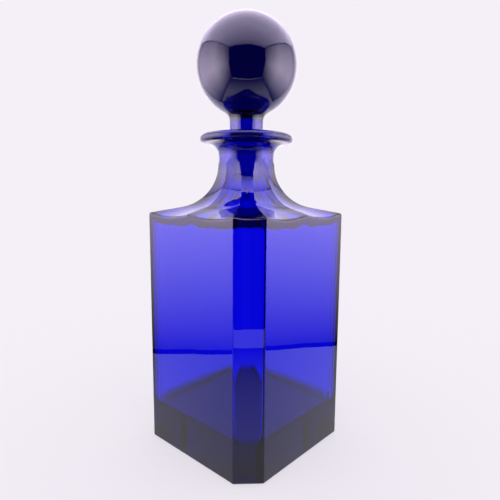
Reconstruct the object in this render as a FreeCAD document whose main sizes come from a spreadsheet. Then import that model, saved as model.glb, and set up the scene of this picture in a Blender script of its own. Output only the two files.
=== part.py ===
import FreeCAD, Part
import itertools
import math
import os
import Sketcher

# Square glass decanter with a solid ball stopper.
# The origin is the middle of the base, +Z is up and the four panels face along X and Y.
# All sizes are in millimetres and degrees.

doc = FreeCAD.newDocument("decanter")

# Driving dimensions
DRIVING = (
    ("body_width", 90.0, "across two opposite panels"),
    ("corner_flat", 15.8, "width of the flat that cuts each upright corner"),
    ("shoulder_height", 136.0, "from the base to the points where the ridges meet the panels"),
    ("edge_rounding", 1.0, "upright edges of the panels and the edge of the foot"),
    ("neck_diameter", 32.4, "round neck above the flutes"),
    ("mouth_height", 180.8, "from the base to the top of the lip"),
    ("lip_diameter", 54.2, "flat lip, over its rounded rim"),
    ("lip_thickness", 5.0, "the rim is a full round of this thickness"),
    ("lip_flare_radius", 7.0, "hollow sweep from the neck to the underside of the lip"),
    ("flute_runout", 12.5, "how far a flute's sweep turns on above its narrowest level, in degrees"),
    ("wide_flute_turn", 14.0, "turn of a wide flute from the middle of its panel, in degrees"),
    ("wide_flute_depth", 0.45, "cut of a wide flute into the neck"),
    ("wide_flute_sweep", 24.8, "upright radius of a wide flute from the neck to the shoulder"),
    ("wide_flute_fall", 16.4, "slope of a wide flute outside that sweep, in degrees"),
    ("wide_flute_hollow", 78.5, "radius across a wide flute"),
    ("narrow_flute_depth", 0.3, "cut of a narrow flute into the neck"),
    ("narrow_flute_sweep", 26.5, "upright radius of a narrow flute from the neck to the shoulder"),
    ("narrow_flute_fall", 11.2, "slope of a narrow flute outside that sweep, in degrees"),
    ("narrow_flute_hollow", 44.0, "radius across a narrow flute"),
    ("wall", 5.0, "glass of the panels"),
    ("shoulder_wall", 6.0, "glass between a wide flute and the hollow"),
    ("base_thickness", 18.0, "solid glass under the hollow"),
    ("hollow_rounding", 6.0, "upright corners and floor edge of the hollow"),
    ("throat_radius", 25.0, "upright sweep of the hollow from the bore to the shoulder"),
    ("stem_diameter", 18.8, "stem between the lip and the ball"),
    ("stem_length", 9.8, "from the lip to the lowest level of the ball"),
    ("stem_rounding", 3.0, "hollow round between the stem and the ball"),
    ("ball_diameter", 57.3, "solid ball"),
    ("plug_length", 28.0, "ground taper that sits in the bore"),
    ("plug_end_diameter", 16.0, "lower end of the taper"),
    ("plug_rounding", 2.0, "lower edge of the plug"),
    ("fit_clearance", 0.25, "between the plug and the bore, each side"),
)

sheet = doc.addObject("Spreadsheet::Sheet", "Sizes")
sheet_rows = itertools.count(start=1)


def write_size(alias, content, note):
    """Write a size on the next row of the sheet, as a number or as a formula on other sizes."""
    row = next(sheet_rows)
    sheet.set(f"A{row}", alias)
    sheet.set(f"B{row}", str(content))
    sheet.set(f"C{row}", note)
    sheet.setAlias(f"B{row}", alias)


for size in DRIVING:
    write_size(*size)
doc.recompute()

# Working sizes, as expressions on the driving dimensions
HALF = "(Sizes.body_width / 2)"
CORNER_CUT = "(Sizes.corner_flat / sqrt(2))"
CORNER_REACH = f"((2 * {HALF} - {CORNER_CUT}) / sqrt(2))"
NECK = "(Sizes.neck_diameter / 2)"
LIP = "(Sizes.lip_diameter / 2)"
RIM = "(Sizes.lip_thickness / 2)"
LIP_UNDER = "(Sizes.mouth_height - Sizes.lip_thickness)"
FLARE_START = f"({LIP_UNDER} - Sizes.lip_flare_radius)"
STEM = "(Sizes.stem_diameter / 2)"
BALL = "(Sizes.ball_diameter / 2)"
PLUG_END = "(Sizes.plug_end_diameter / 2)"
PLUG_FLOOR = "(Sizes.mouth_height - Sizes.plug_length)"
TAPER = f"(({STEM} - {PLUG_END}) / Sizes.plug_length)"
LEAN = f"atan({TAPER})"
CORNER_TURN = "45"

# The points of a line or an arc, in the order in which the constraints of a sketch count them
POINTS = ("edge", "start", "end", "centre")
# Lengths closer than this are taken as equal when edges are picked
SAME = 0.01


def number_of(owner, expression):
    """Work out an expression on the sheet as a plain number."""
    found = owner.evalExpression(expression)
    return float(getattr(found, "Value", found))


def origin_part(body, role):
    """Return the plane or axis of a body's own origin that has this role."""
    return next(item for item in body.Origin.OriginFeatures if item.Role == role)


def new_body(label):
    body = doc.addObject("PartDesign::Body", label)
    body.Label = label
    return body


def new_sketch(body, name, role, turn=None, turn_axis=(0, 0, 1), lift=None):
    """Make a sketch on an origin plane, turned about a direction of that plane and lifted off it."""
    sketch = body.newObject("Sketcher::SketchObject", name)
    sketch.AttachmentSupport = [(origin_part(body, role), "")]
    sketch.MapMode = "FlatFace"
    if turn is not None:
        turned = FreeCAD.Rotation(FreeCAD.Vector(*turn_axis), number_of(sketch, turn))
        sketch.AttachmentOffset = FreeCAD.Placement(FreeCAD.Vector(), turned)
        sketch.setExpression("AttachmentOffset.Rotation.Angle", turn)
    if lift is not None:
        sketch.setExpression("AttachmentOffset.Base.z", lift)
    return sketch


def bind(sketch, constraint, expression):
    """Add a constraint and tie its value to an expression."""
    index = sketch.addConstraint(constraint)
    sketch.setExpression(f"Constraints[{index}]", expression)


def fix_point(sketch, geometry, end, point):
    """Hold one end of a line or an arc at a point given as two expressions."""
    for direction, expression in zip(("DistanceX", "DistanceY"), point):
        place = number_of(sketch, expression)
        bind(sketch, Sketcher.Constraint(direction, geometry, POINTS.index(end), place), expression)


def draw(sketch, corners, arcs=None, closed=True):
    """Draw an outline through corners, each a pair of expressions.

    arcs gives, for the stretch that leaves a corner, an arc's radius and the side of its centre:
    1 is on the left of the way along the outline, -1 on its right. No arc reaches a half circle.
    """
    points = [FreeCAD.Vector(*(number_of(sketch, item) for item in corner), 0) for corner in corners]
    stretches = len(corners) if closed else len(corners) - 1
    for index in range(stretches):
        after = (index + 1) % len(corners)
        here, there = points[index], points[after]
        ends = ("start", "end")
        if arcs and index in arcs:
            radius, side = arcs[index]
            reach = number_of(sketch, radius)
            chord = there - here
            height = math.sqrt(reach ** 2 - (chord.Length / 2) ** 2)
            left = FreeCAD.Vector(-chord.y, chord.x, 0).normalize()
            centre = (here + there) / 2 + left * height * side
            angles = [math.atan2(point.y - centre.y, point.x - centre.x) for point in (here, there)]
            if side < 0:
                angles.reverse()
                ends = ("end", "start")
            circle = Part.Circle(centre, FreeCAD.Vector(0, 0, 1), reach)
            geometry = sketch.addGeometry(Part.ArcOfCircle(circle, *angles))
            bind(sketch, Sketcher.Constraint("Radius", geometry, reach), radius)
        else:
            geometry = sketch.addGeometry(Part.LineSegment(here, there))
        fix_point(sketch, geometry, ends[0], corners[index])
        fix_point(sketch, geometry, ends[1], corners[after])


def square_outline(half, cut):
    """Corners of a square whose own corners are cut off by flats."""
    side = f"({half} - {cut})"
    return [
        (half, f"-{side}"), (half, side), (side, half), (f"-{side}", half),
        (f"-{half}", side), (f"-{half}", f"-{side}"), (f"-{side}", f"-{half}"), (side, f"-{half}"),
    ]


def pad(body, name, sketch, length):
    feature = body.newObject("PartDesign::Pad", name)
    feature.Profile = sketch
    feature.setExpression("Length", length)
    return feature


def revolve(body, name, sketch):
    """Turn an outline once round the upright axis."""
    feature = body.newObject("PartDesign::Revolution", name)
    feature.Profile = sketch
    feature.ReferenceAxis = (sketch, ["V_Axis"])
    feature.Angle = 360
    return feature


def fillet(body, name, radius, wanted):
    """Round those edges of the body so far that the test picks."""
    doc.recompute()
    base = body.Tip
    names = [f"Edge{index}" for index, edge in enumerate(base.Shape.Edges, start=1) if wanted(edge)]
    feature = body.newObject("PartDesign::Fillet", name)
    feature.Base = (base, names)
    feature.setExpression("Radius", radius)
    return feature


def is_upright(edge):
    box = edge.BoundBox
    return max(box.XLength, box.YLength) < SAME < box.ZLength


def is_at(edge, height):
    return max(abs(edge.BoundBox.ZMin - height), abs(edge.BoundBox.ZMax - height)) < SAME


class Flute:
    """The sizes of one kind of flute, as expressions in the upright plane through its middle.

    A flute follows a sweep from the neck and then a straight slope. meet is the distance from the bottle's
    axis, and offset the distance from the flute's middle, at which it comes down to the shoulder height.
    The sweep rounds the corner of neck and slope, so the neck limits it as a wall limits a fillet, and a
    straight piece of neck stays between the flutes and the flare of the lip.
    """

    def __init__(self, kind, meet, offset):
        depth, sweep, fall, self.hollow = (
            f"Sizes.{kind}_flute_{size}" for size in ("depth", "sweep", "fall", "hollow")
        )
        self.sin, self.cos, self.tan = (f"{ratio}({fall})" for ratio in ("sin", "cos", "tan"))
        self.near = f"({NECK} - {depth})"
        rise = self.rise_at(offset)
        corner = f"(Sizes.shoulder_height - {rise} / {self.cos} + ({meet} - {self.near}) * {self.tan})"
        longest = f"({FLARE_START} - {depth} - {corner}) / (1 / {self.cos} - {self.tan})"
        fitted = f"{kind}_flute_fit"
        # On the sheet itself a size goes by its bare alias
        formula = f"=min({sweep}; {longest})".replace("Sizes.", "")
        write_size(fitted, formula, f"sweep of a {kind} flute that fits on the neck")
        self.sweep = f"Sizes.{fitted}"
        self.centre = f"({self.near} + {self.sweep})"
        self.level = (
            f"(Sizes.shoulder_height + ({self.sweep} - {rise}) / {self.cos}"
            f" + ({meet} - {self.centre}) * {self.tan})"
        )

    def rise_at(self, offset):
        """How far the hollow of the flute has come up at a distance from its middle."""
        return f"({self.hollow} - sqrt({self.hollow} ^ 2 - {offset} ^ 2))"

    def slope_at(self, distance, below="0"):
        """Level of the straight slope, or of a line parallel to it, that far below in the glass."""
        drop = f"({self.sweep} + {below}) / {self.cos}"
        return f"({self.level} - {drop} - ({distance} - {self.centre}) * {self.tan})"


WIDE = Flute("wide", f"({HALF} * cos(Sizes.wide_flute_turn))", f"({HALF} * sin(Sizes.wide_flute_turn))")
NARROW = Flute("narrow", CORNER_REACH, "(Sizes.corner_flat / 2)")
doc.recompute()


def cut_flutes(body, name, flute, turn):
    """Cut four flutes, a quarter turn apart, with a crowned tool that follows the sweep and the slope.

    The tool is wider than a flute gets and thick enough to clear the blank, but ends short of the centre
    of the sweep, so that it never passes through itself.
    """
    share_of_sweep = 0.9
    tool_half_width = "(Sizes.body_width / 4)"
    tool_depth = f"({flute.sweep} * {share_of_sweep})"
    slope_end = "Sizes.body_width"
    shoulder_edge = f"({flute.near} + {flute.rise_at(tool_half_width)})"
    back = f"({flute.near} + {tool_depth})"

    section = new_sketch(body, f"{name}_section", "XY_Plane", turn=turn, lift=flute.level)
    draw(
        section,
        [(shoulder_edge, tool_half_width), (shoulder_edge, f"-{tool_half_width}"),
         (back, f"-{tool_half_width}"), (back, tool_half_width)],
        arcs={0: (flute.hollow, 1)},
    )
    hub = section.addGeometry(Part.LineSegment(FreeCAD.Vector(1, -1, 0), FreeCAD.Vector(1, 1, 0)), True)
    fix_point(section, hub, "start", (flute.centre, f"-{tool_half_width}"))
    fix_point(section, hub, "end", (flute.centre, tool_half_width))

    path = new_sketch(body, f"{name}_path", "XZ_Plane", turn=turn, turn_axis=(0, 1, 0))
    bend = f"({flute.centre} - {flute.sweep} * {flute.sin})"
    bend_level = f"({flute.level} - {flute.sweep} * {flute.cos})"
    draw(
        path,
        [(flute.near, flute.level), (bend, bend_level), (slope_end, flute.slope_at(slope_end))],
        arcs={0: (flute.sweep, 1)},
        closed=False,
    )
    doc.recompute()

    runout = body.newObject("PartDesign::Groove", f"{name}_runout")
    runout.Profile = section
    runout.ReferenceAxis = (section, ["Axis0"])
    runout.Midplane = True
    runout.setExpression("Angle", "2 * Sizes.flute_runout")
    sweep = body.newObject("PartDesign::SubtractivePipe", f"{name}_sweep")
    sweep.Profile = section
    sweep.Spine = path
    doc.recompute()

    pattern = body.newObject("PartDesign::PolarPattern", f"{name}_pattern")
    pattern.Originals = [runout, sweep]
    pattern.Axis = (origin_part(body, "Z_Axis"), [""])
    pattern.Angle = 360
    pattern.Occurrences = 4
    body.Tip = pattern
    doc.recompute()


def make_outside():
    """The bottle's outer form: cut-cornered block, neck and lip, with twelve flutes over the shoulder.

    Before the flutes are cut, a cone fills the corner between the block and the neck.
    """
    body = new_body("outside")
    share_of_sweep = 0.6
    cone_foot = "(Sizes.shoulder_height / 2)"
    cone_reach = f"({NECK} + {NARROW.sweep} * {share_of_sweep})"
    blank_top = "(Sizes.shoulder_height + Sizes.shoulder_wall)"

    footprint = new_sketch(body, "footprint", "XY_Plane")
    draw(footprint, square_outline(HALF, CORNER_CUT))
    pad(body, "block", footprint, blank_top)
    fillet(body, "block_edges", "Sizes.edge_rounding", lambda edge: is_upright(edge) or is_at(edge, 0))

    profile = new_sketch(body, "neck_profile", "XZ_Plane")
    draw(
        profile,
        [("0", cone_foot), (cone_reach, cone_foot), (cone_reach, blank_top),
         (NECK, NARROW.level), (NECK, FLARE_START),
         (f"({NECK} + Sizes.lip_flare_radius)", LIP_UNDER), (f"({LIP} - {RIM})", LIP_UNDER),
         (LIP, f"(Sizes.mouth_height - {RIM})"), (f"({LIP} - {RIM})", "Sizes.mouth_height"),
         ("0", "Sizes.mouth_height")],
        arcs={4: ("Sizes.lip_flare_radius", -1), 6: (RIM, 1), 7: (RIM, 1)},
    )
    revolve(body, "neck_and_lip", profile)
    doc.recompute()

    cut_flutes(body, "wide_flutes_left", WIDE, "-Sizes.wide_flute_turn")
    cut_flutes(body, "wide_flutes_right", WIDE, "Sizes.wide_flute_turn")
    cut_flutes(body, "narrow_flutes", NARROW, CORNER_TURN)
    return body


def make_hollow():
    """The space inside: a tapered bore, a throat that spreads under the shoulder, a cut-cornered well."""
    body = new_body("hollow")
    inner_half = f"({HALF} - Sizes.wall)"
    inner_cut = f"({CORNER_CUT} - Sizes.wall * (2 - sqrt(2)))"
    far = "Sizes.body_width"
    over_mouth = "(Sizes.mouth_height + Sizes.lip_thickness)"
    bore_at_zero = f"({PLUG_END} + Sizes.fit_clearance - {PLUG_FLOOR} * {TAPER})"
    slope_level = WIDE.slope_at("Sizes.throat_radius", "Sizes.shoulder_wall")
    slope_over_axis = f"({slope_level} + Sizes.throat_radius / {WIDE.cos})"
    throat_level = f"(({slope_over_axis} - {bore_at_zero} * {WIDE.tan}) / (1 + {TAPER} * {WIDE.tan}))"
    throat = f"({bore_at_zero} + {throat_level} * {TAPER})"
    centre = f"({throat} + Sizes.throat_radius)"

    profile = new_sketch(body, "hollow_profile", "XZ_Plane")
    draw(
        profile,
        [("0", "Sizes.base_thickness"), (far, "Sizes.base_thickness"),
         (far, WIDE.slope_at(far, "Sizes.shoulder_wall")),
         (f"({centre} - Sizes.throat_radius * {WIDE.sin})",
          f"({throat_level} - Sizes.throat_radius * {WIDE.cos})"),
         (throat, throat_level),
         (f"({bore_at_zero} + {over_mouth} * {TAPER})", over_mouth), ("0", over_mouth)],
        arcs={3: ("Sizes.throat_radius", -1)},
    )
    revolve(body, "turned_space", profile)
    doc.recompute()

    trim = new_sketch(body, "well_trim", "XY_Plane")
    draw(trim, square_outline(inner_half, inner_cut))
    draw(trim, square_outline(f"(2 * {far})", inner_cut))
    doc.recompute()
    outside_well = body.newObject("PartDesign::Pocket", "outside_well")
    outside_well.Profile = trim
    outside_well.Type = "ThroughAll"
    outside_well.Midplane = True
    fillet(
        body, "well_corners", "Sizes.hollow_rounding",
        lambda edge: is_upright(edge) or is_at(edge, number_of(sheet, "Sizes.base_thickness")),
    )
    return body


def make_bottle():
    """One piece of glass: the outside less the hollow."""
    bottle = doc.addObject("Part::Cut", "bottle")
    bottle.Label = "bottle"
    bottle.Base = make_outside()
    bottle.Tool = make_hollow()
    return bottle


def make_stopper():
    """One turned piece of solid glass: ball, stem and ground plug."""
    body = new_body("stopper")
    ball_level = f"(Sizes.mouth_height + Sizes.stem_length + {BALL})"
    round_across = f"({STEM} + Sizes.stem_rounding)"
    round_drop = f"sqrt(({BALL} + Sizes.stem_rounding) ^ 2 - {round_across} ^ 2)"
    ball_share = f"({BALL} / ({BALL} + Sizes.stem_rounding))"
    flat_end = f"({PLUG_END} + Sizes.plug_rounding * ({TAPER} - 1 / cos({LEAN})))"
    profile = new_sketch(body, "stopper_profile", "XZ_Plane")
    draw(
        profile,
        [("0", PLUG_FLOOR), (flat_end, PLUG_FLOOR),
         (f"({flat_end} + Sizes.plug_rounding * cos({LEAN}))",
          f"({PLUG_FLOOR} + Sizes.plug_rounding * (1 - sin({LEAN})))"),
         (STEM, "Sizes.mouth_height"),
         (STEM, f"({ball_level} - {round_drop})"),
         (f"({round_across} * {ball_share})", f"({ball_level} - {round_drop} * {ball_share})"),
         (BALL, ball_level), ("0", f"({ball_level} + {BALL})")],
        arcs={1: ("Sizes.plug_rounding", 1), 4: ("Sizes.stem_rounding", -1), 5: (BALL, 1), 6: (BALL, 1)},
    )
    revolve(body, "turned_stopper", profile)
    return body


sub_parts = [make_bottle(), make_stopper()]
doc.recompute()

for item in doc.Objects:
    if "Invalid" in item.State or "Error" in item.State:
        raise RuntimeError(f"{item.Label} did not build: {item.State}")
for sub_part in sub_parts:
    if sub_part.Shape.isNull() or not sub_part.Shape.isValid():
        raise RuntimeError(f"{sub_part.Label} has no valid shape")
    if len(sub_part.Shape.Solids) != 1:
        raise RuntimeError(f"{sub_part.Label} is {len(sub_part.Shape.Solids)} solids")

os.makedirs("parts", exist_ok=True)
for sub_part in sub_parts:
    sub_part.Shape.exportStep(f"parts/{sub_part.Label}.step")
    box = sub_part.Shape.BoundBox
    print(f"{sub_part.Label}: {sub_part.Shape.Volume:.0f} cubic mm, height {box.ZMin:.2f} to {box.ZMax:.2f}")
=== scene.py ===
# %% [markdown]
# # A square glass decanter with a ball stopper
#
# The decanter is two pieces of cobalt blue glass: a thick square bottle with cut corners and a fluted
# shoulder, and a solid ball that stands on a ground plug in the neck. Clear glass has hardly any surface
# colour. What the eye sees is the room, bent and tinted by the way through the glass, so the shapes and the
# thickness of the walls matter more here than any painted finish.

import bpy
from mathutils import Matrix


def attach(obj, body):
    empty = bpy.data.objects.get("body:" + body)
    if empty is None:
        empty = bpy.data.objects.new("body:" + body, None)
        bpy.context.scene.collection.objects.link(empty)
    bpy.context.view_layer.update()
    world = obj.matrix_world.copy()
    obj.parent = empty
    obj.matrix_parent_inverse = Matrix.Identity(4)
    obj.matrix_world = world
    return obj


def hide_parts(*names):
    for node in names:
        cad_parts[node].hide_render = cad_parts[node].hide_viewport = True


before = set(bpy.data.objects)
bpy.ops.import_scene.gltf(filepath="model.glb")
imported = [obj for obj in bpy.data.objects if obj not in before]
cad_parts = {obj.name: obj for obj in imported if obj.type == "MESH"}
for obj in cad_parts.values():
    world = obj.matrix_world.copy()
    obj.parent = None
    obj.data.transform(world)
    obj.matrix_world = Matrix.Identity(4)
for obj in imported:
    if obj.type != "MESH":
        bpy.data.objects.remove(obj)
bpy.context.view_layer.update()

import math

import bmesh
import bpy
from mathutils import Matrix, Vector

# %% [markdown]
# ## Sizes
#
# Lengths are written in millimetres, as a glass maker would, and each finished mesh is scaled to metres
# at its end. The sizes that several steps share are kept together here, and the others stand where
# they are first needed.

# %% Sizes in millimetres
MM = 0.001
BODY_HALF = 45.0
CORNER_FLAT = 15.8
CORNER_CUT = CORNER_FLAT / math.sqrt(2)
SHOULDER = 136.0
SHOULDER_WALL = 6.0
NECK = 16.2
MOUTH = 180.8
STEM = 9.4
PLUG_LENGTH = 28.0
PLUG_END = 8.0
TAPER = (STEM - PLUG_END) / PLUG_LENGTH
print(f"body {2 * BODY_HALF} mm wide, mouth at {MOUTH} mm")

# %% [markdown]
# ## Flutes
#
# Twelve hollow cuts run from the round neck over the shoulder and end at the panels: two wide ones over each
# panel, a narrow one over each cut corner. Each could be a boolean with a swept cutter, but a boolean leaves
# long thin faces, and glass shows every one of them as a kink in the reflections. So a cut is written here
# as a test of one point, and the vertices of a tidy mesh are slid to the surface of the cut later.

# %% A flute as a test of one point
class Flute:
    """A groove left by a crowned tool that follows an upright sweep and then a straight slope.

    turn is the direction of the groove's middle and fall the slope, in degrees. meet is the distance from
    the bottle's axis, and offset the distance from the groove's middle, at which it comes down to the
    shoulder.
    """

    def __init__(self, turn, depth, sweep, fall, hollow, meet, offset):
        self.turn = math.radians(turn)
        self.sweep = sweep
        self.hollow = hollow
        self.fall = math.radians(fall)
        self.centre = NECK - depth + sweep
        slope = (sweep - self.rise(offset)) / math.cos(self.fall)
        self.level = SHOULDER + slope + (meet - self.centre) * math.tan(self.fall)

    def rise(self, across):
        """How far the hollow of the groove has come up at a distance from its middle."""
        return self.hollow - math.sqrt(self.hollow ** 2 - across ** 2)

    def depth_in_glass(self, angle, radius, height):
        """Above zero in the glass, below zero in the groove."""
        out = radius * math.cos(angle - self.turn) - self.centre
        up = height - self.level
        reach = self.sweep - self.rise(radius * math.sin(angle - self.turn))
        if out * math.cos(self.fall) - up * math.sin(self.fall) > 0:
            return -out * math.sin(self.fall) - up * math.cos(self.fall) - reach
        return math.hypot(out, up) - reach


WIDE_TURN, CORNER_TURN = 14.0, 45.0
wide_turn = math.radians(WIDE_TURN)
WIDE = Flute(
    turn=WIDE_TURN, depth=0.45, sweep=24.8, fall=16.4, hollow=78.5,
    meet=BODY_HALF * math.cos(wide_turn), offset=BODY_HALF * math.sin(wide_turn),
)
NARROW = Flute(
    turn=CORNER_TURN, depth=0.3, sweep=26.5, fall=11.2, hollow=44.0,
    meet=(2 * BODY_HALF - CORNER_CUT) / math.sqrt(2), offset=CORNER_FLAT / 2,
)
print(f"wide flutes are narrowest at {WIDE.level:.1f} mm, narrow ones at {NARROW.level:.1f} mm")

# %% [markdown]
# ## The blank under the flutes
#
# A glass cutter starts from a blank: a round neck that widens to the shoulder like a cone. What is left
# after the cuts is the glass that lies in the blank and in none of the grooves. Each shape gives a depth
# in the glass, so the smallest of the depths says how deep a point lies in what is left.

# %% The neck and the flutes together
CONE_SPREAD = 0.6
CONE_RADIUS = NECK + NARROW.sweep * CONE_SPREAD
CONE_LEVEL = SHOULDER + SHOULDER_WALL


def depth_in_neck(radius, height):
    """The neck is a cylinder on a cone that fills the corner between neck and shoulder."""
    steepness = (CONE_RADIUS - NECK) / (NARROW.level - CONE_LEVEL)
    return NECK + max(0.0, NARROW.level - height) * steepness - radius


def depth_in_glass(angle, radius, height):
    """Above zero in the glass that the flutes leave of the neck and the shoulder, below zero outside it."""
    flutes = min(flute.depth_in_glass(angle, radius, height) for flute in (WIDE, NARROW))
    if height < CONE_LEVEL:
        return flutes
    return min(flutes, depth_in_neck(radius, height))


print(f"the cone is {CONE_RADIUS:.1f} mm in radius at {CONE_LEVEL} mm")

# %% [markdown]
# ## Rows and columns
#
# The bottle's whole skin, outside and inside, is one sheet of rows and columns that is wrapped round the
# axis. Columns are counted over an eighth of a turn, from the middle of a panel to the middle of a
# cut corner, and then mirrored round. They crowd together beside the ridges and the upright edges: such
# support columns keep smooth shading from washing an edge out, and leave it as softly rounded as real glass.

# %% Columns over an eighth of a turn
# Shares of the way along a panel, round its upright edge and on to the middle of the cut corner
PANEL_STEPS = [
    0, 0.008, 0.03, 0.08, 0.14, 0.2, 0.27, 0.34, 0.41, 0.48,
    0.55, 0.62, 0.69, 0.76, 0.83, 0.89, 0.94, 0.975, 0.992, 1,
]
EDGE_STEPS = [step / 6 for step in range(1, 7)]
CORNER_STEPS = [0.04, 0.12, 0.25, 0.4, 0.6, 0.8, 1]
RIDGE = len(PANEL_STEPS) - 1
EIGHTH = RIDGE + len(EDGE_STEPS) + len(CORNER_STEPS)
COLUMNS = 8 * EIGHTH
EDGE_ROUND, INSIDE_ROUND = 1.0, 6.0
WALL = 5.0


def outline(half, cut, rounding, inset=0.0):
    """Angles and radii from a panel's middle to a corner's, on a cut-cornered square with rounded edges."""
    run = half - cut - rounding * math.tan(math.pi / 8)
    points = [(half - inset, run * step) for step in PANEL_STEPS]
    reach = rounding - inset
    for step in EDGE_STEPS:
        turn = step * math.pi / 4
        points.append((half - rounding + reach * math.cos(turn), run + reach * math.sin(turn)))
    corner = half - cut / 2 - inset / math.sqrt(2)
    last = points[-1]
    points += [tuple(a + (corner - a) * step for a in last) for step in CORNER_STEPS]
    return [(math.atan2(y, x), math.hypot(x, y)) for x, y in points]


OUTSIDE = outline(BODY_HALF, CORNER_CUT, EDGE_ROUND)
INSIDE_HALF = BODY_HALF - WALL
INSIDE_CUT = CORNER_CUT - WALL * (2 - math.sqrt(2))
INSIDE = outline(INSIDE_HALF, INSIDE_CUT, INSIDE_ROUND)
print(f"{COLUMNS} columns round the bottle")

# %% [markdown]
# ## Sliding points to the skin
#
# The test of one point says how deep it lies, not where the skin is. So a point slides along a line that
# starts in the glass and ends outside it, and the line is halved again and again until its two ends meet. A
# Shrinkwrap modifier could do that on a surface that is there already, but this surface is only a
# formula. The ridge between two flutes is found in the same way, so that one column can lie right on it.

# %% Slide points to the skin
SKIN_HALVINGS, RIDGE_HALVINGS = 40, 30
RIDGE_LOWEST, RIDGE_HIGHEST = 20.0, 44.9


def leave_glass(angle, inner, outer):
    """Slide from a point in the glass to one outside it, each a radius and a height, and stop at the skin."""
    for _ in range(SKIN_HALVINGS):
        middle = [(a + b) / 2 for a, b in zip(inner, outer)]
        if depth_in_glass(angle, *middle) > 0:
            inner = middle
        else:
            outer = middle
    return (angle, *inner)


def ridge_angle(line):
    """Angle at which a wide flute and a narrow one meet, on a line that is the same for every angle."""
    low, high = math.radians(RIDGE_LOWEST), math.radians(RIDGE_HIGHEST)
    for _ in range(RIDGE_HALVINGS):
        angle = (low + high) / 2
        point = leave_glass(angle, *line)
        if WIDE.depth_in_glass(*point) < NARROW.depth_in_glass(*point):
            low = angle
        else:
            high = angle
    return low


def column_angles(ridge):
    """Angles of the columns when the ridge between a wide and a narrow flute lies at this angle."""
    at_panel = OUTSIDE[RIDGE][0]
    at_corner = math.radians(CORNER_TURN)
    angles = []
    for angle, _ in OUTSIDE:
        if angle <= at_panel:
            angles.append(angle * ridge / at_panel)
        else:
            angles.append(at_corner - (at_corner - angle) * (at_corner - ridge) / (at_corner - at_panel))
    return angles


print(f"the ridges start at the panels at {math.degrees(OUTSIDE[RIDGE][0]):.1f} degrees")

# %% [markdown]
# ## The foot and the panels
#
# A row is a list of points, one for each column, each given as angle, radius and height. The foot and the
# panels follow the outline, and a panel ends where the flutes cut it. A Bevel modifier could soften those
# scalloped top edges. The rows are at hand anyway, so a few close ones step round the edge, each at a
# distance that can be chosen.

# %% Rows of the foot and the panels
FOOT_TURNS = (90, 68, 45, 22, 0)
FOOT_SUPPORT = 0.94
DEEP, HIGH = 100.0, 190.0
# Drops below the cut and insets from the panel
TOP_EDGE = ((60, 0), (8, 0), (1.2, 0), (0.75, 0.05), (0.32, 0.24), (-0.02, 0.6))

foot = outline(BODY_HALF, CORNER_CUT, EDGE_ROUND, EDGE_ROUND)
rows = [[(angle, radius * FOOT_SUPPORT, 0.0) for angle, radius in foot]]
for turn in FOOT_TURNS:
    down = math.radians(turn)
    ring = outline(BODY_HALF, CORNER_CUT, EDGE_ROUND, EDGE_ROUND * (1 - math.cos(down)))
    rows.append([(angle, radius, EDGE_ROUND * (1 - math.sin(down))) for angle, radius in ring])
panel_top = [leave_glass(angle, (radius, DEEP), (radius, HIGH)) for angle, radius in OUTSIDE]
for drop, inset in TOP_EDGE:
    rows.append([(angle, radius - inset, height - drop) for angle, radius, height in panel_top])
print(f"{len(rows)} rows up to the top edges of the panels")

# %% [markdown]
# ## The shoulder and the neck
#
# On the shoulder each point slides along a line until it leaves the glass: straight up over the slope, and
# then along lines that fan in towards the neck, where straight up would run along the skin instead of
# crossing it. On the neck the flutes fade out, and a few level rows close together follow their tips.

# %% Rows of the shoulder and the neck
SLOPE_SHARES = (0.94, 0.86, 0.76, 0.64, 0.5, 0.36, 0.22, 0.1)
BEND, FAN_STEP = 68, 4
INTO_GLASS = 14.0
FAN = ((WIDE.centre + NARROW.centre) / 2, (WIDE.level + NARROW.level) / 2)
TIP_LEVEL, TIP_STEP, TIP_ROWS = 164.0, 0.7, 6
TIP_RIDGE = math.radians(31)


def fan_line(turn):
    """From deep in the glass to the middle of the sweep, at a turn below the level line, in degrees."""
    down, length = math.radians(turn), WIDE.sweep + INTO_GLASS
    return (FAN[0] - length * math.cos(down), FAN[1] - length * math.sin(down)), FAN


bend_line = fan_line(BEND)
bend_row = [leave_glass(angle, *bend_line) for angle in column_angles(ridge_angle(bend_line))]
for share in SLOPE_SHARES:
    reach = bend_row[RIDGE][1] + share * (OUTSIDE[RIDGE][1] - bend_row[RIDGE][1])
    angles = column_angles(ridge_angle(((reach, DEEP), (reach, HIGH))))
    row = []
    for angle, inner, outer in zip(angles, bend_row, OUTSIDE):
        radius = inner[1] + share * (outer[1] - inner[1])
        row.append(leave_glass(angle, (radius, DEEP), (radius, HIGH)))
    rows.append(row)
for turn in range(BEND, -1, -FAN_STEP):
    line = fan_line(turn)
    rows.append([leave_glass(angle, *line) for angle in column_angles(ridge_angle(line))])
for step in range(TIP_ROWS):
    height = TIP_LEVEL + TIP_STEP * step
    line = ((0.0, height), (FAN[0], height))
    rows.append([leave_glass(angle, *line) for angle in column_angles(TIP_RIDGE)])
print(f"{len(rows)} rows from the foot to the neck")

# %% [markdown]
# ## Lip and bore
#
# Above the flutes the bottle is round, so a row there is one radius and one height. The lip flares out of
# the neck, its rim is a full round, and the bore inside is a taper for the plug. A spun outline would make
# them as well, but as rows of the same sheet they join the fluted neck without a seam.

# %% Rows of the lip and the bore
LIP, LIP_THICK, FLARE = 27.1, 5.0, 7.0
CLEARANCE = 0.25
LIP_FLATS = (20, 14)
BORE_LEVELS = (174, 166, 158)
MOUTH_EDGE_OUT, MOUTH_EDGE_DOWN = 0.6, 0.4
MOUTH_EDGE_MIDDLE = (0.25, 0.1)


def round_row(ring, radius, height):
    return [(angle, radius, height) for angle, _ in ring]


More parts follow.
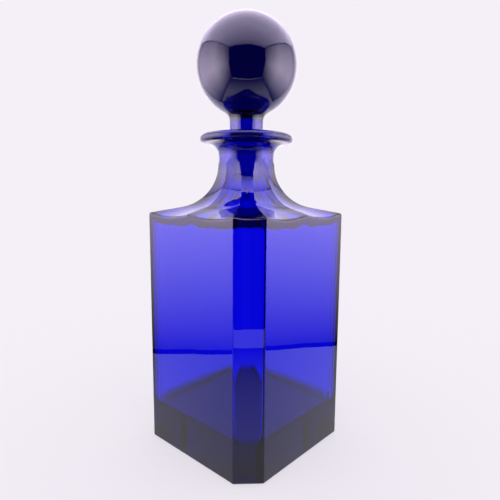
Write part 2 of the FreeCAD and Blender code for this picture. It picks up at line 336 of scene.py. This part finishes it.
def arc(centre, radius, first, last, steps):
    """Points of an arc as radius and height, between two directions in degrees."""
    turns = [math.radians(first + (last - first) * step / steps) for step in range(steps + 1)]
    return [(centre[0] + radius * math.cos(turn), centre[1] + radius * math.sin(turn)) for turn in turns]


bore_at_zero = PLUG_END + CLEARANCE - (MOUTH - PLUG_LENGTH) * TAPER


def bore_radius(height):
    return bore_at_zero + height * TAPER


rim = LIP_THICK / 2
bore_top = bore_radius(MOUTH)
lip_points = arc((NECK + FLARE, MOUTH - LIP_THICK - FLARE), FLARE, first=180, last=90, steps=10)
lip_points += arc((LIP - rim, MOUTH - rim), rim, first=-90, last=90, steps=14)
lip_points += [(radius, MOUTH) for radius in (*LIP_FLATS, bore_top + MOUTH_EDGE_OUT)]
bore_points = [(bore_top + MOUTH_EDGE_MIDDLE[0], MOUTH - MOUTH_EDGE_MIDDLE[1])]
bore_points += [(bore_radius(height), height) for height in (MOUTH - MOUTH_EDGE_DOWN, *BORE_LEVELS)]
for ring, points in ((OUTSIDE, lip_points), (INSIDE, bore_points)):
    rows += [round_row(ring, radius, height) for radius, height in points]
print(f"{len(lip_points)} rows of the lip, and a bore {2 * bore_top:.1f} mm wide at the mouth")

# %% [markdown]
# ## The hollow
#
# Below the bore the hollow spreads under the shoulder and falls into a cut-cornered well with generous
# rounds, as blown glass has them, and its floor lies on a thick block of solid glass. A Solidify modifier
# would give one thickness all over. Here the walls are thin and the base is thick, so the inside has
# rows of its own.

# %% Rows of the hollow
BASE = 18.0
THROAT = 25.0
# Heights in millimetres and counts round the bottle
WAVES = ((0.6, 9), (0.5, 17))
SPREAD_SHARES = (0.25, 0.5, 0.75, 0.9, 0.97, 1)
WALL_DROPS = (1, 4)
FLOOR_SUPPORT = 0.9


def slope_inside(radius):
    """Level of the hollow's top, which runs along under the slope of a wide flute."""
    below = (WIDE.sweep + SHOULDER_WALL) / math.cos(WIDE.fall)
    return WIDE.level - below - (radius - WIDE.centre) * math.tan(WIDE.fall)


def wave(angle):
    """Soft unevenness of the inner shoulder, which blown glass has and no mould touches."""
    return sum(height * math.cos(count * angle) for height, count in WAVES)


steepness = math.tan(WIDE.fall)
slope_over_axis = slope_inside(THROAT) + THROAT / math.cos(WIDE.fall)
throat_level = (slope_over_axis - bore_at_zero * steepness) / (1 + TAPER * steepness)
throat_middle = (bore_radius(throat_level) + THROAT, throat_level)
throat_points = arc(throat_middle, THROAT, first=180, last=270 - math.degrees(WIDE.fall), steps=16)
rows += [round_row(INSIDE, radius, height) for radius, height in throat_points]
spread = throat_points[-1][0]
for share in SPREAD_SHARES:
    reach = [(angle, spread + share * (radius - spread)) for angle, radius in INSIDE]
    level = slope_inside(spread + share * (INSIDE_HALF - spread))
    rows.append([(angle, radius, level + share * wave(angle)) for angle, radius in reach])
wall_top = rows[-1]
for drop in WALL_DROPS:
    rows.append([(angle, radius, height - drop) for angle, radius, height in wall_top])
for turn in range(0, 91, 15):
    down = math.radians(turn)
    ring = outline(INSIDE_HALF, INSIDE_CUT, INSIDE_ROUND, INSIDE_ROUND * (1 - math.cos(down)))
    rows.append([(angle, radius, BASE + INSIDE_ROUND * (1 - math.sin(down))) for angle, radius in ring])
rows.append([(angle, radius * FLOOR_SUPPORT, BASE) for angle, radius in ring])
print(f"{len(rows)} rows in all, the throat is at {throat_level:.1f} mm")

# %% [markdown]
# ## Wrapping the sheet
#
# A grid operator makes the sheet with its faces, and each vertex is then moved to its row and column. Merging
# doubles closes the seam, and filling the two open ends makes the base and the floor of the well. Smooth
# shading over the support rows gives every edge its small soft round.

# %% Wrap the sheet into the bottle
MERGE = 0.0005
SHEET_HALF = 0.5


def to_place(column, row):
    """Point of a row for a column counted all the way round, mirrored at each eighth of a turn."""
    quarter, step = divmod(column % COLUMNS, 2 * EIGHTH)
    mirrored = step > EIGHTH
    angle, radius, height = row[2 * EIGHTH - step if mirrored else step]
    if mirrored:
        angle = math.pi / 2 - angle
    angle += quarter * math.pi / 2
    return Vector((radius * math.cos(angle), radius * math.sin(angle), height))


def finish_piece(name, bm):
    """Turn the faces outwards, bring the mesh to metres and make it a smooth object of the scene."""
    bmesh.ops.remove_doubles(bm, verts=bm.verts, dist=MERGE)
    bmesh.ops.recalc_face_normals(bm, faces=bm.faces)
    bmesh.ops.scale(bm, vec=(MM, MM, MM), verts=bm.verts)
    for face in bm.faces:
        face.smooth = True
    mesh = bpy.data.meshes.new(name)
    bm.to_mesh(mesh)
    bm.free()
    piece = bpy.data.objects.new(name, mesh)
    bpy.context.scene.collection.objects.link(piece)
    print(f"{name}: {len(mesh.vertices)} vertices, {len(mesh.polygons)} faces")
    return piece


bm = bmesh.new()
spaces = len(rows) - 1
bmesh.ops.create_grid(bm, x_segments=COLUMNS, y_segments=spaces, size=SHEET_HALF)
for vert in bm.verts:
    column = round((vert.co.x + SHEET_HALF) * COLUMNS)
    row = round((vert.co.y + SHEET_HALF) * spaces)
    vert.co = to_place(column, rows[row])
bmesh.ops.remove_doubles(bm, verts=bm.verts, dist=MERGE)
open_edges = [edge for edge in bm.edges if edge.is_boundary]
bmesh.ops.holes_fill(bm, edges=open_edges, sides=0)
print("open edges left:", sum(edge.is_boundary for edge in bm.edges))
bottle = finish_piece("bottle_glass", bm)
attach(bottle, "bottle")
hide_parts("bottle")

# %% [markdown]
# ## The stopper
#
# The stopper is one turned piece of solid glass: ball, short stem, ground plug. It could be a sphere joined
# to a cone, but the join would need a round of its own. Turned pieces suit the spin operator: half
# the outline is drawn once as a chain of edges, with all its rounds, and spun round the axis.

# %% Spin the stopper
BALL = 28.65
STEM_LENGTH = 9.8
BALL_LEVEL = MOUTH + STEM_LENGTH + BALL
STEM_ROUND = 6.0
STEM_SWELL = 0.4
SWELL_MIDDLE, SWELL_END = 1.0, 2.5
STEM_TOP = STEM + STEM_SWELL
PLUG_ROUND = 2.0
PLUG_RINGS = (9, 16, 22, 27)
SPIN_STEPS = 144
ORDER_DIGITS = 4


def settle_order(elements, place):
    """Put vertices or faces in the order of their places, because spin leaves them in no fixed order."""
    ordered = sorted(elements, key=lambda element: place(element).to_tuple(ORDER_DIGITS))
    for index, element in enumerate(ordered):
        element.index = index
    elements.sort()


plug_floor = MOUTH - PLUG_LENGTH
lean = math.atan(TAPER)
flat_end = PLUG_END + PLUG_ROUND * (TAPER - 1 / math.cos(lean))
round_out = STEM_TOP + STEM_ROUND
round_drop = math.sqrt((BALL + STEM_ROUND) ** 2 - round_out ** 2)
seat = math.degrees(math.atan2(round_drop, round_out))

half_outline = [(0.0, plug_floor), (flat_end / 2, plug_floor)]
half_outline += arc(
    (flat_end, plug_floor + PLUG_ROUND), PLUG_ROUND, first=-90, last=-math.degrees(lean), steps=8
)
half_outline += [(PLUG_END + TAPER * height, plug_floor + height) for height in PLUG_RINGS]
half_outline += [
    (STEM, MOUTH), (STEM + STEM_SWELL / 2, MOUTH + SWELL_MIDDLE), (STEM_TOP, MOUTH + SWELL_END)
]
half_outline += arc(
    (round_out, BALL_LEVEL - round_drop), STEM_ROUND, first=180, last=180 - seat, steps=10
)
half_outline += arc((0.0, BALL_LEVEL), BALL, first=-seat, last=90, steps=72)[1:]

bm = bmesh.new()
chain = [bm.verts.new((radius, 0.0, height)) for radius, height in half_outline]
edges = [bm.edges.new(pair) for pair in zip(chain, chain[1:])]
bmesh.ops.spin(
    bm, geom=chain + edges, cent=(0, 0, 0), axis=(0, 0, 1), angle=2 * math.pi,
    steps=SPIN_STEPS, use_merge=True,
)
settle_order(bm.verts, lambda vert: vert.co)
settle_order(bm.faces, lambda face: face.calc_center_median())
stopper = finish_piece("stopper_glass", bm)
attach(stopper, "stopper")
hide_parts("stopper")

# %% [markdown]
# ## Shader maths
#
# A finish such as ground glass comes from small sums: one number where the plug is ground, another where it
# is polished. They could be wired by hand as Math nodes, but a sum reads more easily as a sum. A small class
# holds the output of a node, and its operators add the Math nodes.

# %% Shader maths as Python
class Wire:
    """An output of a node, on which Python's operators add Math nodes."""

    def __init__(self, tree, socket=None):
        self.tree = tree
        self.socket = socket

    def node(self, kind, settings=None, sockets=None, output=0):
        """Add a node: its settings first, then the values or links of its sockets."""
        made = self.tree.nodes.new(kind)
        for name, setting in (settings or {}).items():
            setattr(made, name, setting)
        for name, given in (sockets or {}).items():
            if isinstance(given, Wire):
                self.tree.links.new(given.socket, made.inputs[name])
            else:
                made.inputs[name].default_value = given
        return Wire(self.tree, made.outputs[output] if made.outputs else None)

    def maths(self, operation, first, second):
        return self.node("ShaderNodeMath", {"operation": operation}, {0: first, 1: second})

    def __add__(self, other):
        return self.maths("ADD", self, other)

    def __mul__(self, other):
        return self.maths("MULTIPLY", self, other)

    __radd__ = __add__
    __rmul__ = __mul__


# A Mix node has sockets for numbers, vectors and colours, and these are the colour ones
MIX_FROM, MIX_TO, MIX_RESULT = 6, 7, 2


def mix_colours(wire, share, from_colour, to_colour):
    sockets = {"Factor": share, MIX_FROM: from_colour, MIX_TO: to_colour}
    return wire.node("ShaderNodeMix", {"data_type": "RGBA"}, sockets, output=MIX_RESULT)


def new_material(name):
    material = bpy.data.materials.new(name)
    material.use_nodes = True
    material.node_tree.nodes.clear()
    return material, Wire(material.node_tree)


print("operators that add Math nodes: + and *")

# %% [markdown]
# ## Cobalt glass
#
# The blue sits in the glass, not on it: cobalt swallows red and green within millimetres and lets blue pass
# for centimetres. A blue base colour would tint thick and thin glass alike. An absorbing volume does what
# cobalt does, so thin walls come out bright blue and the solid ball nearly black by themselves. The surface
# is polished, with the faint waviness of moulded glass as a bump, and the plug is ground matt.

# %% Two finishes of cobalt glass
BOTTLE_IOR, STOPPER_IOR = 1.49, 1.54
CLEAR = (0.93, 0.94, 1.0, 1.0)
CLOUDED = (0.86, 0.88, 1.0, 1.0)
COBALT_BOTTLE = (0.03, 0.0, 0.95, 1.0)
COBALT_STOPPER = (0.03, 0.0, 0.905, 1.0)
COBALT_DENSITY = 600.0
POLISHED = 0.004
GROUND = 0.12
HAZE_SCALE = 60.0
WAVE_SIZE = 0.03
BOTTLE_WAVE, STOPPER_WAVE = 0.00004, 0.00002
# Heights in metres between which the glass is ground, which for the bottle lie above it
NOT_GROUND = (1.0, 2.0)
PLUG_GROUND = (0.1528, 0.1800)


def cobalt_glass(name, ior, cobalt, ground_heights, wave_height):
    """Polished blue glass that is ground matt between two heights."""
    material, wire = new_material(name)
    place = wire.node("ShaderNodeTexCoord", output="Object")
    height = wire.node("ShaderNodeSeparateXYZ", None, {"Vector": place}, output="Z")
    wave = wire.node("ShaderNodeTexNoise", None, {"Vector": place, "Scale": 1 / WAVE_SIZE, "Detail": 1.0})
    haze = wire.node("ShaderNodeTexNoise", None, {"Vector": place, "Scale": HAZE_SCALE, "Detail": 3.0})
    lowest, highest = ground_heights
    ground = wire.maths("GREATER_THAN", height, lowest) * wire.maths("LESS_THAN", height, highest)
    bump = wire.node("ShaderNodeBump", None, {"Strength": 1.0, "Distance": wave_height, "Height": wave})
    surface = wire.node(
        "ShaderNodeBsdfPrincipled",
        None,
        {
            "Base Color": mix_colours(wire, haze, CLEAR, CLOUDED),
            "Roughness": haze * POLISHED + ground * GROUND,
            "IOR": ior,
            "Transmission Weight": 1.0,
            "Normal": bump,
        },
    )
    inside = wire.node("ShaderNodeVolumeAbsorption", None, {"Color": cobalt, "Density": COBALT_DENSITY})
    wire.node("ShaderNodeOutputMaterial", None, {"Surface": surface, "Volume": inside})
    return material


bottle.data.materials.append(
    cobalt_glass("cobalt_bottle", BOTTLE_IOR, COBALT_BOTTLE, NOT_GROUND, BOTTLE_WAVE)
)
stopper.data.materials.append(
    cobalt_glass("cobalt_stopper", STOPPER_IOR, COBALT_STOPPER, PLUG_GROUND, STOPPER_WAVE)
)
print("glass on", bottle.name, "and", stopper.name)

# %% [markdown]
# ## Studio floor
#
# A glass photograph is a photograph of its surroundings. The bottle stands on a pale paper floor that catches
# its soft shadow. One paper colour for all rays would be simpler. Here the rays that have passed through the
# glass meet a slightly brighter floor that glows by itself, and a painted shadow darkens it under the bottle
# where little light gets in.

# %% Floor
FLOOR_SIZE = 40.0
FLOOR_LEVEL = -0.0003
PAPER = (0.91, 0.87, 0.93, 1.0)
BEHIND_GLASS = (0.98, 0.94, 1.0, 1.0)
PAINTED_SHADOW_UNDER_GLASS = (0.02, 0.02, 0.1, 1.0)
SHADE = 0.35
FOOTPRINT, FOOTPRINT_END = 0.05, 0.08


def flat_card(name, middle, across, upward, material):
    """A flat card of the studio, from its middle and the ways from there to two of its sides."""
    placing = Matrix((across, upward, across.cross(upward))).transposed().to_4x4()
    bm = bmesh.new()
    bmesh.ops.create_grid(
        bm, x_segments=1, y_segments=1, size=1.0, matrix=Matrix.Translation(middle) @ placing
    )
    mesh = bpy.data.meshes.new(name)
    bm.to_mesh(mesh)
    bm.free()
    card = bpy.data.objects.new(name, mesh)
    card.data.materials.append(material)
    bpy.context.scene.collection.objects.link(card)
    return card


floor_paint, wire = new_material("pale_floor")
place = wire.node("ShaderNodeTexCoord", output="Object")
away = wire.node("ShaderNodeVectorMath", {"operation": "LENGTH"}, {0: place}, output="Value")
lit = wire.node(
    "ShaderNodeMapRange", None, {"Value": away, "From Min": FOOTPRINT, "From Max": FOOTPRINT_END}
)
# Glowing floor for rays through the glass, with a painted shadow inside the bottle's footprint
through = mix_colours(wire, lit, PAINTED_SHADOW_UNDER_GLASS, BEHIND_GLASS)
shaded_paper = wire.node("ShaderNodeBsdfDiffuse", None, {"Color": PAPER})
lit_paper = wire.node("ShaderNodeEmission", None, {"Color": PAPER})
paper = wire.node("ShaderNodeMixShader", None, {"Fac": SHADE, 1: lit_paper, 2: shaded_paper})
seen_through = wire.node("ShaderNodeEmission", None, {"Color": through})
through_ray = wire.node("ShaderNodeLightPath", output="Is Transmission Ray")
either = wire.node("ShaderNodeMixShader", None, {"Fac": through_ray, 1: paper, 2: seen_through})
wire.node("ShaderNodeOutputMaterial", None, {"Surface": either})
floor_half = FLOOR_SIZE / 2
floor = flat_card(
    "floor", Vector((0, 0, FLOOR_LEVEL)), Vector((floor_half, 0, 0)), Vector((0, floor_half, 0)), floor_paint
)
print(f"{floor.name}: {FLOOR_SIZE} m wide")

# %% [markdown]
# ## Background
#
# Behind the object there is nothing but pale paper. A sheet that curves up from the floor would do. The world
# needs no mesh and has no bend. It has the colour of the paper for what the camera and the reflections see,
# a brighter one for what is seen through the glass, and a plain grey that lights the object.

# %% World
FILL = (0.85, 0.85, 0.85, 1.0)

world = bpy.data.worlds.new("studio")
bpy.context.scene.world = world
world.use_nodes = True
world.node_tree.nodes.clear()
wire = Wire(world.node_tree)
camera_ray = wire.node("ShaderNodeLightPath", output="Is Camera Ray")
glossy_ray = wire.node("ShaderNodeLightPath", output="Is Glossy Ray")
through_ray = wire.node("ShaderNodeLightPath", output="Is Transmission Ray")
seen = wire.maths("MAXIMUM", camera_ray, glossy_ray)
backdrop = mix_colours(wire, through_ray, mix_colours(wire, seen, FILL, PAPER), BEHIND_GLASS)
sky = wire.node("ShaderNodeBackground", None, {"Color": backdrop, "Strength": 1.0})
wire.node("ShaderNodeOutputWorld", None, {"Surface": sky})
print("world:", world.name)

# %% [markdown]
# ## Camera
#
# The camera was fitted to the corners of the body, the ridges at the panels, the middle of the ball and the
# axis of the neck. It stands close to the near corner, a little above the shoulder, and looks slightly
# down, which gives the strong slant of the base.

# %% Camera
CAMERA_YAW = math.radians(42.516)
CAMERA_PITCH = math.radians(7.426)
CAMERA_ROLL = math.radians(0.364)
CAMERA_DISTANCE, CAMERA_HEIGHT, CAMERA_SIDE = 0.26001, 0.14731, 0.00255
FOCAL_PIXELS, IMAGE_PIXELS, SENSOR = 434.94, 500.0, 36.0
NEAREST_SEEN = 0.01

back = Vector((math.sin(CAMERA_YAW), -math.cos(CAMERA_YAW), 0))
right = Vector((math.cos(CAMERA_YAW), math.sin(CAMERA_YAW), 0))
up = Vector((0, 0, 1))
forward = -back * math.cos(CAMERA_PITCH) - up * math.sin(CAMERA_PITCH)
above = right.cross(forward)
camera_x = right * math.cos(CAMERA_ROLL) + above * math.sin(CAMERA_ROLL)
camera_y = -right * math.sin(CAMERA_ROLL) + above * math.cos(CAMERA_ROLL)
turned = Matrix((camera_x, camera_y, -forward)).transposed().to_4x4()
stand = back * CAMERA_DISTANCE + up * CAMERA_HEIGHT + right * CAMERA_SIDE
camera_data = bpy.data.cameras.new("camera")
camera_data.sensor_width = SENSOR
camera_data.lens = SENSOR * FOCAL_PIXELS / IMAGE_PIXELS
camera_data.clip_start = NEAREST_SEEN
camera = bpy.data.objects.new("camera", camera_data)
camera.matrix_world = Matrix.Translation(stand) @ turned
bpy.context.scene.collection.objects.link(camera)
bpy.context.scene.camera = camera
print(f"camera at {tuple(round(value, 3) for value in stand)}, lens {camera_data.lens:.1f} mm")

# %% [markdown]
# ## Cloth of the light tent
#
# Glass is often photographed in a tent of white cloth, whose front is open towards the camera. The cloth
# shows in the glass as bright bands and the open front as a dark shape. Lamps behind real cloth make a
# bright spot that fades to its edges. Here the cloth glows by itself and fades by its place in the tent, so
# that there are no lamps to place.

# %% Cloth of the tent
TENT_HALF, TENT_FRONT, TENT_REAR, TENT_HEIGHT = 0.19, 0.247, 0.155, 0.345
BRIGHT_HEIGHT, BRIGHT_DEPTH = 0.19, 0.06
BLACK = (0.0, 0.0, 0.0, 1.0)


def lit_cloth(name, colour, foot=1.0, head=1.0, front=1.0, rear=1.0, bend=1.0):
    """Glowing cloth that fades from its bright middle to a share of its light at each of four ends."""
    material, wire = new_material(name)
    place = wire.node("ShaderNodeTexCoord", output="Object")
    height = wire.node("ShaderNodeSeparateXYZ", None, {"Vector": place}, output="Z")
    depth = wire.node(
        "ShaderNodeVectorMath", {"operation": "DOT_PRODUCT"}, {0: place, 1: back}, output="Value"
    )

    def fade(along, bright, end, share):
        return wire.node(
            "ShaderNodeMapRange", None,
            {"Value": along, "From Min": bright, "From Max": end, "To Min": 1.0, "To Max": share},
        )

    rise = wire.maths("POWER", fade(height, BRIGHT_HEIGHT, 0.0, foot), bend)
    over = rise * fade(height, BRIGHT_HEIGHT, TENT_HEIGHT, head)
    along = fade(depth, BRIGHT_DEPTH, TENT_FRONT, front) * fade(depth, BRIGHT_DEPTH, -TENT_REAR, rear)
    glow = mix_colours(wire, over * along, BLACK, (*colour, 1.0))
    light = wire.node("ShaderNodeEmission", None, {"Color": glow})
    wire.node("ShaderNodeOutputMaterial", None, {"Surface": light})
    return material


wall_cloth = lit_cloth(
    "wall_cloth", (6.4, 5.5, 7.0), foot=0.08, head=0.3, front=0.12, rear=0.25, bend=1.35
)
roof_cloth = lit_cloth("roof_cloth", (3.05, 2.65, 3.5), front=0.3, rear=0.8)
rear_cloth = lit_cloth("rear_cloth", (1.6, 1.45, 1.75), foot=0.6)
# Painted light and shade of the floor in front: a glowing card, darker towards the open front
front_floor_shade = lit_cloth("front_floor_shade", (0.9, 0.85, 0.95), front=0.05)
dark_room = lit_cloth("dark_room", (0.015, 0.015, 0.03))
cloths = (wall_cloth, roof_cloth, rear_cloth, front_floor_shade, dark_room)
print("cloth:", ", ".join(cloth.name for cloth in cloths))

# %% [markdown]
# ## Cards of the light tent
#
# The tent is a box of cards round the bottle: two walls, a roof and a rear, a card of painted shade on the
# floor in front, a dark opening in front, and dark seams. One box with a material for each side would do.
# Separate cards are easier to move and to name. They are hidden from the camera, so only reflections see them
# and the picture stays plain.

# %% Cards of the tent
SEAM = 0.0025
TENT_SIDE = right * 0.008
OPENING_FOOT = 0.02
FLOOR_SHADE_START, FLOOR_SHADE_LIFT = 0.08, 0.0005


def tent_card(name, middle, across, upward, material):
    """A card of the tent that only reflections see."""
    card = flat_card(name, middle + TENT_SIDE, across, upward, material)
    card.visible_camera = False
    card.visible_diffuse = False
    card.visible_transmission = False
    card.visible_shadow = False


tent_middle = back * (TENT_FRONT - TENT_REAR) / 2
half_depth = back * (TENT_FRONT + TENT_REAR) / 2
half_width = right * TENT_HALF
half_height = up * TENT_HEIGHT / 2
half_seam = up * SEAM
roof_middle = tent_middle + up * TENT_HEIGHT
rear_middle = half_height - back * TENT_REAR
for name, side in (("left", -1), ("right", 1)):
    wall_foot = half_width * side + tent_middle
    inward = -right * side * SEAM
    seam_foot = wall_foot + inward
    seam_head = seam_foot + up * (TENT_HEIGHT - SEAM)
    rear_corner = rear_middle + half_width * side + inward + back * SEAM
    tent_card(f"wall_{name}", wall_foot + half_height, half_depth, half_height, wall_cloth)
    tent_card(f"floor_seam_{name}", seam_foot + half_seam, half_depth, half_seam, dark_room)
    tent_card(f"roof_seam_{name}", seam_head, half_depth, half_seam, dark_room)
    tent_card(f"rear_seam_{name}", rear_corner, right * SEAM, half_height, dark_room)
tent_card("roof", roof_middle, half_width, half_depth, roof_cloth)
tent_card("rear", rear_middle, half_width, half_height, rear_cloth)
half_opening = up * (TENT_HEIGHT - OPENING_FOOT) / 2
opening_middle = back * TENT_FRONT + up * OPENING_FOOT + half_opening
tent_card("opening", opening_middle, half_width, half_opening, dark_room)
# A card of painted shade lying just over the floor in front, seen only in reflections
half_floor_shade = back * (TENT_FRONT - FLOOR_SHADE_START) / 2
floor_shade_middle = back * FLOOR_SHADE_START + half_floor_shade + up * FLOOR_SHADE_LIFT
tent_card("painted_floor_shade", floor_shade_middle, half_width, half_floor_shade, front_floor_shade)
print("the tent is", 2 * TENT_HALF, "m wide and", TENT_HEIGHT, "m high")

# %% [markdown]
# ## Soft light
#
# The shadow on the floor is faint and wide, as under an overcast sky. An area lamp would give one too, but
# its light falls off with distance. A sun with a very wide disc lights the whole floor alike, and it is
# hidden from the glass.

# %% Soft light from above
SUN_STRENGTH, SUN_SPREAD = 0.47, 120

lamp_data = bpy.data.lights.new("soft_sun", "SUN")
lamp_data.energy = SUN_STRENGTH
lamp_data.angle = math.radians(SUN_SPREAD)
lamp = bpy.data.objects.new("soft_sun", lamp_data)
lamp.visible_glossy = False
lamp.visible_transmission = False
bpy.context.scene.collection.objects.link(lamp)
print(f"{lamp.name}: strength {SUN_STRENGTH}, {SUN_SPREAD} degrees wide")

# %% [markdown]
# ## Last steps
#
# The view transform stays plain, so that a colour renders about as it is written.

# %% Finish
bpy.context.scene.view_settings.view_transform = "Standard"
